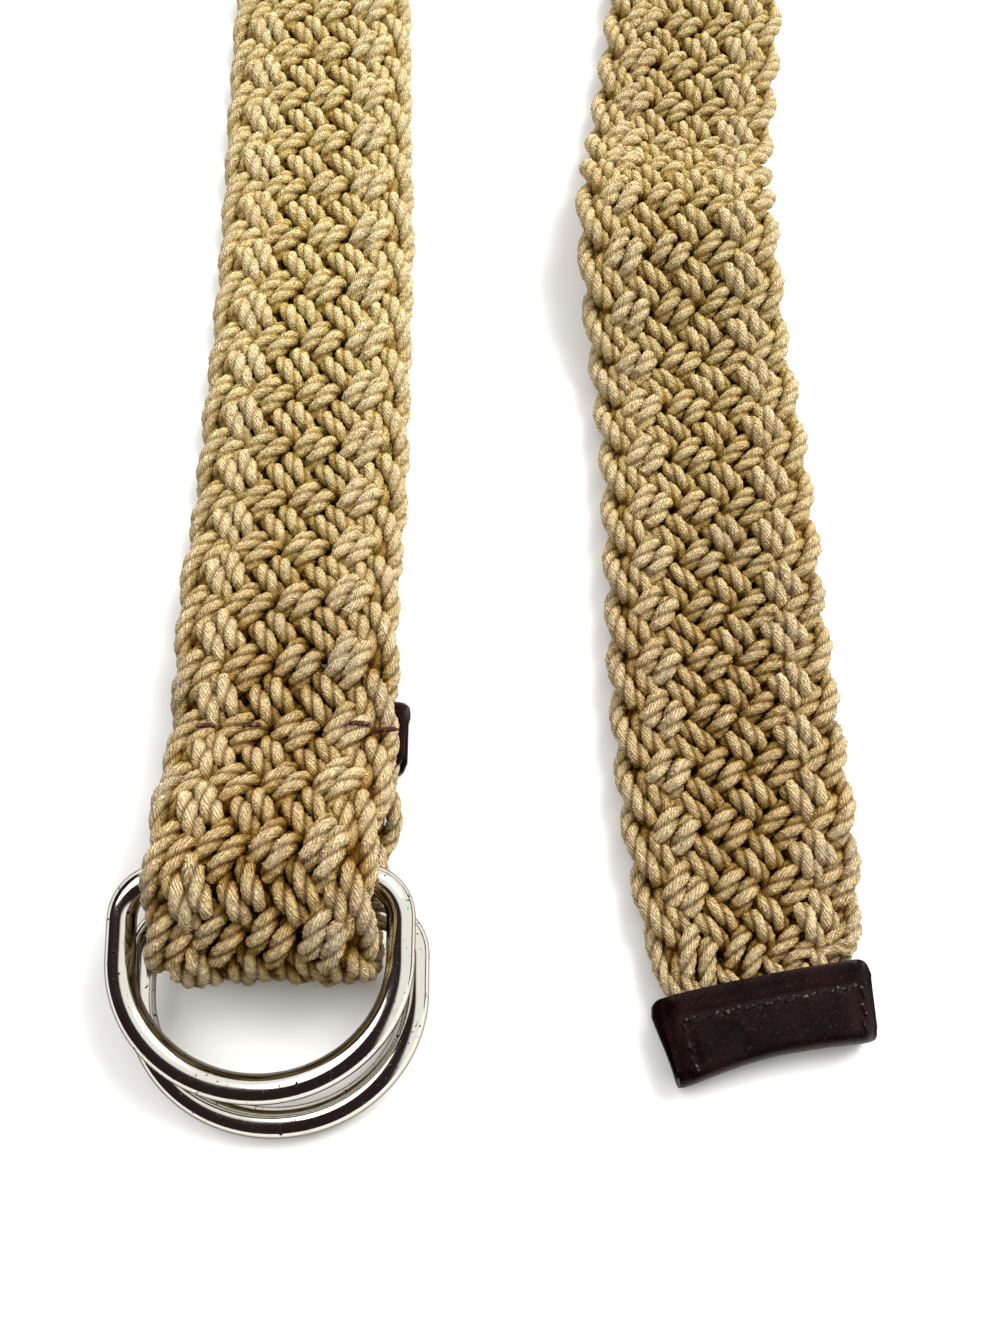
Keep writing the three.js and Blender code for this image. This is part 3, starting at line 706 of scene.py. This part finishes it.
# The sheet's middle surface: a flat grid whose two halves become the upper and lower layers of the fold
def foldedSheet(name, shape, place):
    d = folds
    half = d["leather"] / 2
    bm = bmesh.new()
    bmesh.ops.create_grid(bm, x_segments=d["acrossSteps"], y_segments=d["alongSteps"], size=1.0)
    turned = Matrix.Rotation(math.radians(shape["turn"]), 3, "Z")
    for vertex in bm.verts:
        share, t = vertex.co.x, vertex.co.y
        width = shape["mouth"] / 2
        over = max(0.0, abs(share) * width - (width - d["corner"])) / d["corner"]
        cut = d["corner"] * (1 - math.sqrt(max(0.0, 1 - over ** 2)))
        drop = shape["pinch"] * ease(over + max(0, abs(share) - 0.78) * 0.6)
        height = d["height"] - drop
        low = cut * shape["foldCorner"] + shape["hollow"] * (1 - share * share)
        low -= shape["drawn"] * max(0.0, -share) ** 1.5
        mouth = d["length"] - cut + shape["bow"] * (1 - share * share)
        noseReach, noseRise = d["nose"] - half, height / 2 - half
        if abs(t) < d["bend"]:
            angle = math.pi / 2 * t / d["bend"]
            y = low + d["nose"] - noseReach * math.cos(angle)
            z = height / 2 + noseRise * math.sin(angle)
        else:
            y = mix(low + d["nose"], mouth, (abs(t) - d["bend"]) / (1 - d["bend"]))
            z = height - half if t > 0 else half
            if t > 0:
                edge = min(mouth - y, (1 - abs(share)) * width)
                z += shape["rim"] * math.exp(-((edge - rimCrest[0]) / rimCrest[1]) ** 2)
                z -= shape["rim"] * math.exp(-((edge - rimDip[0]) / rimDip[1]) ** 2)
        spread = mix(shape["end"][share > 0], shape["mouth"], min(1, max(0, y / d["length"]))) / 2
        slip = shape["slip"] * ease(y / d["length"]) * max(0.0, -share) if t < 0 else 0.0
        vertex.co = (place + turned @ Vector((share * spread - slip, y, z))) * mm
    mesh = bpy.data.meshes.new(name)
    bmesh.ops.recalc_face_normals(bm, faces=bm.faces)
    bm.to_mesh(mesh)
    bm.free()
    return mesh


leatherBrown = leatherFinish()
endPoint = stations[-1][1]
heading = math.radians(tip["turn"])
tipPlace = Vector((endPoint.x + laid["endInset"] * math.sin(heading),
                   endPoint.y - laid["endInset"] * math.cos(heading), laid["shift"][2]))
tabX = leftX(laid["foldLength"] - laid["tabLength"] / 2)
tabPlace = Vector((tabX, laid["foldLength"], 0)) + Vector(laid["shift"])
for name, shape, place in (("leather_tip", tip, tipPlace), ("leather_tab", tab, tabPlace)):
    piece = addPiece(name + "_hide", foldedSheet(name, shape, place), "belt", leatherBrown)
    wall = piece.modifiers.new("thickness", "SOLIDIFY")
    wall.thickness = folds["leather"] * mm
    wall.offset = 0
    edge = piece.modifiers.new("edge", "BEVEL")
    edge.width = folds["edge"] * mm
    edge.segments = 3
    edge.limit_method = "ANGLE"
    edge.angle_limit = math.radians(folds["edgeAngle"])
    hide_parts(name)
print("leather made")

# Stitching: threads laid on what is below them, with their ends sunk; millimetres
seams = {"step": 0.35, "sunk": 0.8, "lift": 0.3, "dropFrom": 60, "seed": 5}
foldSeam = {
    "thread": 0.42, "place": 41.9, "stray": 0.4,
    "runs": ((-14.6, -11.8), (-6.6, -3.6), (12.0, 15.4), (16.0, 21.0)),
    "colour": (0.055, 0.022, 0.016), "pale": (0.24, 0.13, 0.09),
}
tipSeam = {
    "thread": 0.3, "stitch": 3.25, "gap": 0.45, "slant": 0.34,
    "left": -15.0, "right": 15.6, "top": 9.4, "bottom": 1.2, "bottomLeft": 0.4, "bottomRight": 1.76,
    "colour": (0.006, 0.003, 0.003), "pale": (0.17, 0.10, 0.085),
}


def threadFinish(name, colour, pale):
    f = Finish(name)
    twist = f.noise(f.place(), 1500, 2)
    f.set(Base_Color=f.blend(twist.between(0.52, 0.7), colour, pale), Roughness=0.7, Specular_IOR_Level=0.1)
    f.bump((twist, 0.0001))
    return f.material


def treesOf(pieces):
    graph = bpy.context.evaluated_depsgraph_get()
    return [BVHTree.FromObject(piece, graph) for piece in pieces]


# One spline a stitch; each stitch is a row of (x, y) points, laid on the highest piece there
def stitchMesh(name, stitches, thread, trees):
    curve = bpy.data.curves.new(name, "CURVE")
    curve.dimensions = "3D"
    curve.bevel_depth = thread * mm
    curve.bevel_resolution = 2
    curve.use_fill_caps = True
    for stitch in stitches:
        points = []
        for x, y in stitch:
            above = Vector((x, y, seams["dropFrom"])) * mm
            hits = [tree.ray_cast(above, Vector((0, 0, -1))) for tree in trees]
            tops = [hit[0].z for hit in hits if hit[0] is not None]
            if tops:
                points.append([x * mm, y * mm, max(tops) + seams["lift"] * thread * mm])
        if len(points) < 4:
            continue
        for _ in range(2):
            for i in range(1, len(points) - 1):
                points[i][2] = max(points[i][2], (points[i - 1][2] + points[i + 1][2]) / 2)
        points[0][2] -= seams["sunk"] * mm
        points[-1][2] -= seams["sunk"] * mm
        spline = curve.splines.new("POLY")
        spline.points.add(len(points) - 1)
        spline.points.foreach_set("co", [c for point in points for c in (*point, 1)])
    return meshFromCurve(name, curve)


def rowBetween(start, end):
    count = max(4, round((end - start).length / seams["step"]))
    return [tuple(start.lerp(end, k / count).to_2d()) for k in range(count + 1)]


chance = random.Random(seams["seed"])
foldStitches = []
seamX = leftX(foldSeam["place"]) + laid["shift"][0]
seamY = foldSeam["place"] + laid["shift"][1]
for left, right in foldSeam["runs"]:
    ends = [Vector((seamX + x, seamY + chance.uniform(-foldSeam["stray"], foldSeam["stray"]), 0))
            for x in (left, right)]
    foldStitches.append(rowBetween(*ends))
seamBrown = threadFinish("seamThread", foldSeam["colour"], foldSeam["pale"])
foldThreads = stitchMesh("fold_stitching", foldStitches, foldSeam["thread"], treesOf(strands))
addPiece("fold_stitching", foldThreads, "belt", seamBrown)

# The tip's seam runs along the top edge and down both sides
turned = Matrix.Rotation(math.radians(tip["turn"]), 3, "Z")
corners = [Vector((x, y, 0)) for x, y in (
    (tipSeam["left"] + tipSeam["bottomLeft"], tipSeam["bottom"]), (tipSeam["left"], tipSeam["top"]),
    (tipSeam["right"], tipSeam["top"]), (tipSeam["right"] - tipSeam["bottomRight"], tipSeam["bottom"]))]
tipStitches = []
for start, end in zip(corners, corners[1:]):
    run = end - start
    count = round(run.length / tipSeam["stitch"])
    aside = Vector((-run.y, run.x, 0)).normalized() * tipSeam["slant"]
    for k in range(count):
        a = start + run * (k / count) - aside
        b = start + run * ((k + 1) / count) - run.normalized() * tipSeam["gap"] + aside
        tipStitches.append(rowBetween(tipPlace + turned @ a, tipPlace + turned @ b))
hides = [bpy.data.objects["leather_tip_hide"]]
tipBlack = threadFinish("tipThread", tipSeam["colour"], tipSeam["pale"])
tipThreads = stitchMesh("tip_stitching", tipStitches, tipSeam["thread"], treesOf(hides))
addPiece("tip_stitching", tipThreads, "belt", tipBlack)
print("stitches laid")

# The floor, the sky and the lamps, in metres; the sky is dim on the side away from "towards"
stage = {
    "floor": 3.0, "sky": 1.25, "bright": (0.95, 0.95, 0.93), "dim": (0.024, 0.014, 0.016),
    "towards": (0.72, 0.62, 0.0), "dimTo": -0.12, "brightFrom": 0.02, "lampAim": (0, -0.08, 0),
}
lamps = (
    {"name": "mainLamp", "place": (0.75, 0.55, 1.0), "size": 0.8, "power": 25, "colour": (1.0, 0.98, 0.95)},
    {"name": "fillLamp", "place": (-0.7, 0.1, 1.1), "size": 0.9, "power": 10, "colour": (1.0, 0.99, 0.98)},
)


def floorFinish():
    f = Finish("paleFloor")
    f.set(Base_Color=(0.92, 0.92, 0.92, 1), Roughness=0.9, Specular_IOR_Level=0.1)
    return f.material


def layFloor():
    bm = bmesh.new()
    bmesh.ops.create_grid(bm, x_segments=1, y_segments=1, size=stage["floor"])
    mesh = bpy.data.meshes.new("floor")
    bm.to_mesh(mesh)
    bm.free()
    floor = bpy.data.objects.new("floor", mesh)
    bpy.context.collection.objects.link(floor)
    mesh.materials.append(floorFinish())


def paintSky():
    world = bpy.data.worlds.new("studio")
    bpy.context.scene.world = world
    world.use_nodes = True
    tree = world.node_tree
    sky = tree.nodes["Background"]
    sky.inputs["Strength"].default_value = stage["sky"]
    direction = tree.nodes.new("ShaderNodeTexCoord")
    facing = tree.nodes.new("ShaderNodeVectorMath")
    facing.operation = "DOT_PRODUCT"
    facing.inputs[1].default_value = stage["towards"]
    band = tree.nodes.new("ShaderNodeMapRange")
    band.inputs["From Min"].default_value = stage["dimTo"]
    band.inputs["From Max"].default_value = stage["brightFrom"]
    shade = tree.nodes.new("ShaderNodeMix")
    shade.data_type = "RGBA"
    shade.inputs[6].default_value = (*stage["dim"], 1)
    shade.inputs[7].default_value = (*stage["bright"], 1)
    tree.links.new(direction.outputs["Generated"], facing.inputs[0])
    tree.links.new(facing.outputs["Value"], band.inputs[0])
    tree.links.new(band.outputs[0], shade.inputs[0])
    # Looked at straight, the sky is bright all round, so the backdrop is pale from every side
    seen = tree.nodes.new("ShaderNodeLightPath")
    backdrop = tree.nodes.new("ShaderNodeMix")
    backdrop.data_type = "RGBA"
    backdrop.inputs[7].default_value = (*stage["bright"], 1)
    tree.links.new(seen.outputs["Is Camera Ray"], backdrop.inputs[0])
    tree.links.new(shade.outputs[2], backdrop.inputs[6])
    tree.links.new(backdrop.outputs[2], sky.inputs["Color"])


def hangLamps():
    for lamp in lamps:
        data = bpy.data.lights.new(lamp["name"], "AREA")
        data.size = lamp["size"]
        data.energy = lamp["power"]
        data.color = lamp["colour"]
        holder = bpy.data.objects.new(lamp["name"], data)
        holder.location = lamp["place"]
        aim = Vector(stage["lampAim"]) - Vector(lamp["place"])
        holder.rotation_euler = aim.to_track_quat("-Z", "Y").to_euler()
        bpy.context.collection.objects.link(holder)


layFloor()
paintSky()
hangLamps()
bpy.context.scene.view_settings.view_transform = "Standard"
print("stage set")
